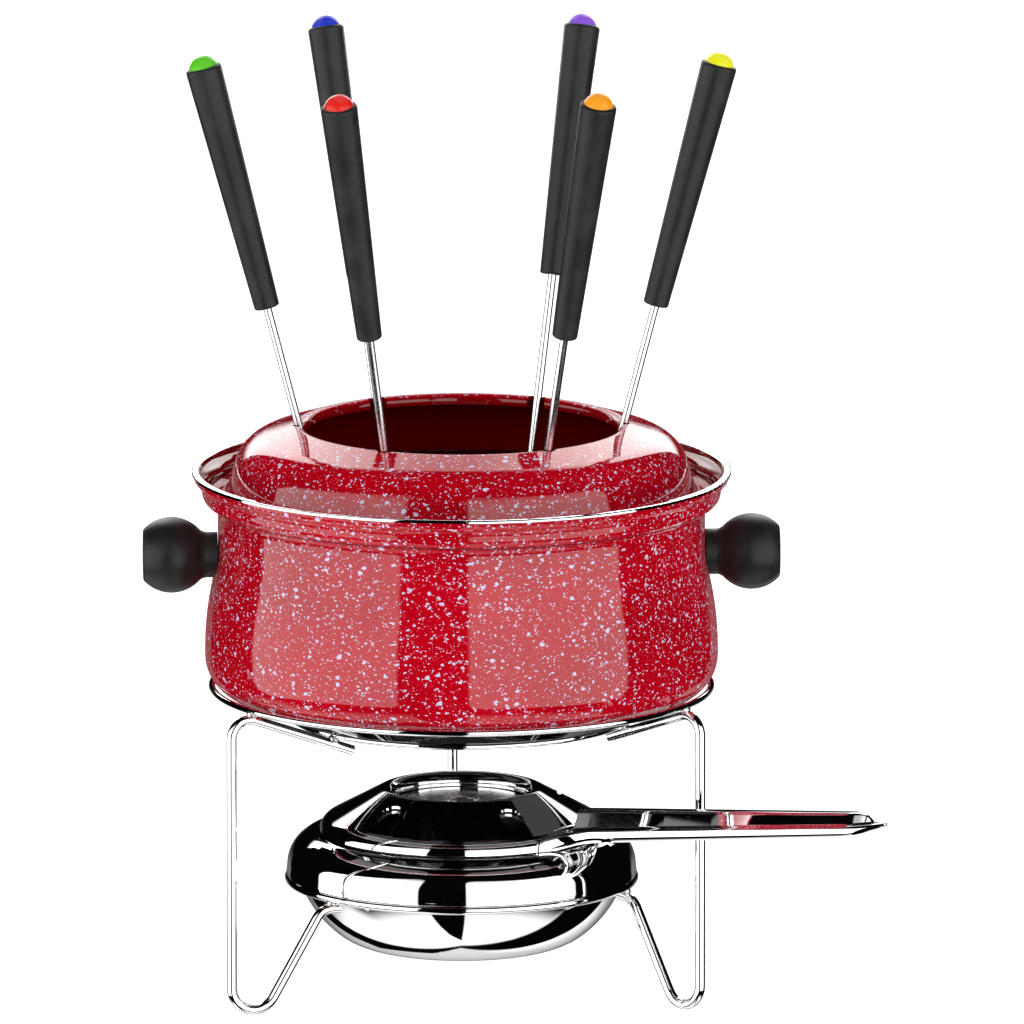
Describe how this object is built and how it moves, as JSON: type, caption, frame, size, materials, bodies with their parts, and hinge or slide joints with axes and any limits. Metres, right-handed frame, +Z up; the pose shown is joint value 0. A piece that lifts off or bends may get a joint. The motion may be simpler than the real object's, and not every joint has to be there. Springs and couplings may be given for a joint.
{
  "type": "fondue pot set",
  "caption": "Table fondue set: speckled enamel pot with side knobs, splash guard, colour-capped forks, wire stand and spirit burner with regulator handle.",
  "frame": {"origin": "on the table, on the vertical axis shared by the stand's rings, the pot and the burner", "axes": "+Z up; the knobs lie along X, the front is -Y"},
  "size_m": [0.2732, 0.2235, 0.3551],
  "materials": {
    "polished_wire": "bright plated wire",
    "weld": "plated weld",
    "enamel": "glossy enamel with pale speckles",
    "rim_chrome": "bright band",
    "black_moulding": "satin moulded knob",
    "black_handle": "satin moulded handle",
    "brass": "turned",
    "stainless": "fine polish",
    "burner_polish": "mirror polish",
    "wadding": "absorbent felt",
    "gauze": "fine gauze",
    "cap_yellow": "glossy dome",
    "cap_violet": "glossy dome",
    "cap_blue": "glossy dome",
    "cap_green": "glossy dome",
    "cap_red": "glossy dome",
    "cap_amber": "glossy dome"
  },
  "bodies": {
    "stand": {"stand_leg_1": "polished_wire", "stand_leg_2": "polished_wire", "stand_leg_3": "polished_wire", "stand_outer_ring": "polished_wire", "stand_support_ring": "polished_wire", "stand_burner_ring": "polished_wire", "stand_weld_beads": "weld"},
    "pot": {"pot_body": "enamel", "pot_rim_trim": "rim_chrome", "knob_left": "black_moulding", "knob_insert_left": "brass", "knob_stud_left": "stainless", "knob_right": "black_moulding", "knob_insert_right": "brass", "knob_stud_right": "stainless"},
    "guard": {"splash_guard": "enamel"},
    "burner": {"burner_bowl": "burner_polish", "burner_upper_shell": "burner_polish", "burner_damper_ring": "stainless", "burner_fuel_cup": "stainless", "burner_fuel_pad": "wadding", "burner_cup_lid": "stainless", "burner_gauze": "gauze"},
    "regulator": {"burner_cover": "burner_polish", "burner_handle": "burner_polish"},
    "fork_1": {"fork_shank_1": "stainless", "fork_handle_1": "black_handle", "fork_cap_1": "cap_yellow"},
    "fork_2": {"fork_shank_2": "stainless", "fork_handle_2": "black_handle", "fork_cap_2": "cap_violet"},
    "fork_3": {"fork_shank_3": "stainless", "fork_handle_3": "black_handle", "fork_cap_3": "cap_blue"},
    "fork_4": {"fork_shank_4": "stainless", "fork_handle_4": "black_handle", "fork_cap_4": "cap_green"},
    "fork_5": {"fork_shank_5": "stainless", "fork_handle_5": "black_handle", "fork_cap_5": "cap_red"},
    "fork_6": {"fork_shank_6": "stainless", "fork_handle_6": "black_handle", "fork_cap_6": "cap_amber"}
  },
  "joints": [
    {"name": "pot_lift", "type": "slide", "parent": "stand", "child": "pot", "axis": [0, 0, 1], "range_m": [0, 0.15]},
    {"name": "guard_lift", "type": "slide", "parent": "pot", "child": "guard", "axis": [0, 0, 1], "range_m": [0, 0.12]},
    {"name": "burner_lift", "type": "slide", "parent": "stand", "child": "burner", "axis": [0, 0, 1], "range_m": [0, 0.026]},
    {"name": "regulator_turn", "type": "hinge", "parent": "burner", "child": "regulator", "pos_m": [0, 0, 0.06], "axis": [0, 0, 1], "range_deg": [-30, 0]},
    {"name": "fork_1_lift", "type": "slide", "parent": "guard", "child": "fork_1", "axis": [0, 0, 1], "range_m": [0, 0.28]},
    {"name": "fork_2_lift", "type": "slide", "parent": "guard", "child": "fork_2", "axis": [0, 0, 1], "range_m": [0, 0.28]},
    {"name": "fork_3_lift", "type": "slide", "parent": "guard", "child": "fork_3", "axis": [0, 0, 1], "range_m": [0, 0.28]},
    {"name": "fork_4_lift", "type": "slide", "parent": "guard", "child": "fork_4", "axis": [0, 0, 1], "range_m": [0, 0.28]},
    {"name": "fork_5_lift", "type": "slide", "parent": "guard", "child": "fork_5", "axis": [0, 0, 1], "range_m": [0, 0.28]},
    {"name": "fork_6_lift", "type": "slide", "parent": "guard", "child": "fork_6", "axis": [0, 0, 1], "range_m": [0, 0.28]}
  ]
}
